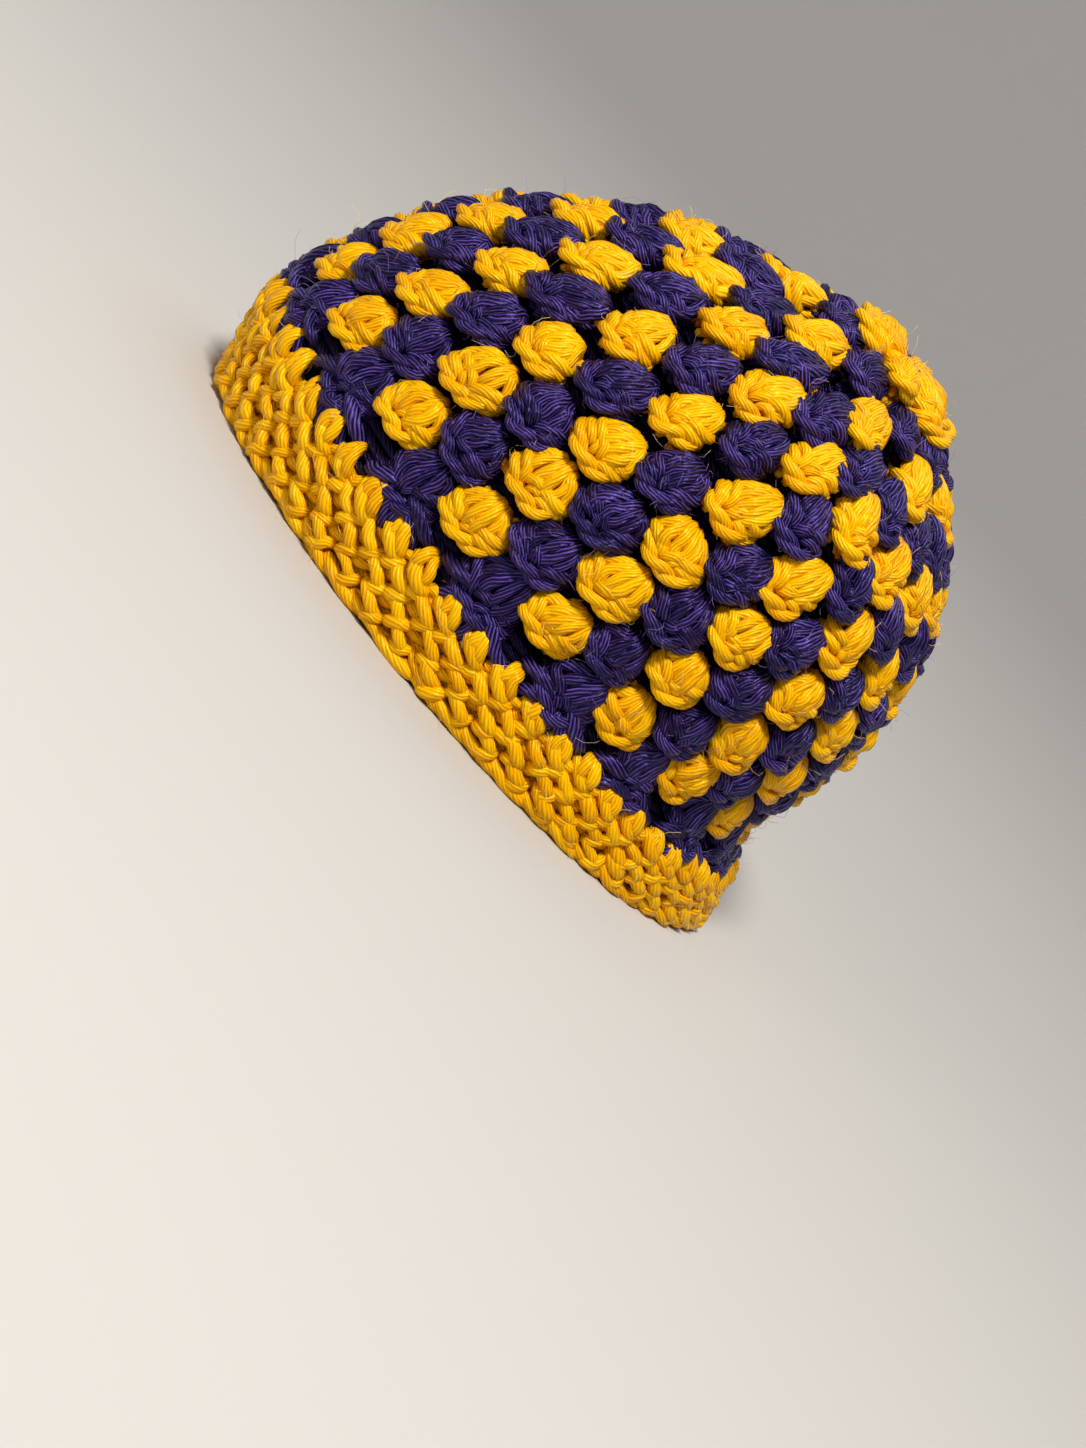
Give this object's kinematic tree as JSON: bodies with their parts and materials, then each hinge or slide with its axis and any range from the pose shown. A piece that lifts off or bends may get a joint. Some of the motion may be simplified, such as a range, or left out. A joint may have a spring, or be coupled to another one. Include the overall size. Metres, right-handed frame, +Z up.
{
  "type": "crochet beanie",
  "caption": "Close-fitting crochet beanie of puffed clusters in alternating colour rounds, with a plain stitched brim band.",
  "frame": {"origin": "on the surface that the brim rests on, under the middle of the hat", "axes": "+Z up to the crown, -Y to the forehead, +Y to the nape, +X to the wearer's left"},
  "size_m": [0.1621, 0.2154, 0.1521],
  "materials": {
    "yarn_yellow": "plied worsted yarn, matt with a faint sheen",
    "yarn_purple": "plied worsted yarn, matt with a faint sheen"
  },
  "bodies": {
    "root": {"brim_band": "yarn_yellow", "round_01": "yarn_purple", "round_02": "yarn_yellow", "round_03": "yarn_purple", "round_04": "yarn_yellow", "round_05": "yarn_purple", "round_06": "yarn_yellow", "round_07": "yarn_purple", "round_08": "yarn_yellow", "round_09": "yarn_purple", "round_10": "yarn_yellow", "round_11": "yarn_purple", "round_12": "yarn_yellow", "round_13": "yarn_purple", "round_14": "yarn_yellow", "crown_centre": "yarn_purple"}
  },
  "joints": []
}
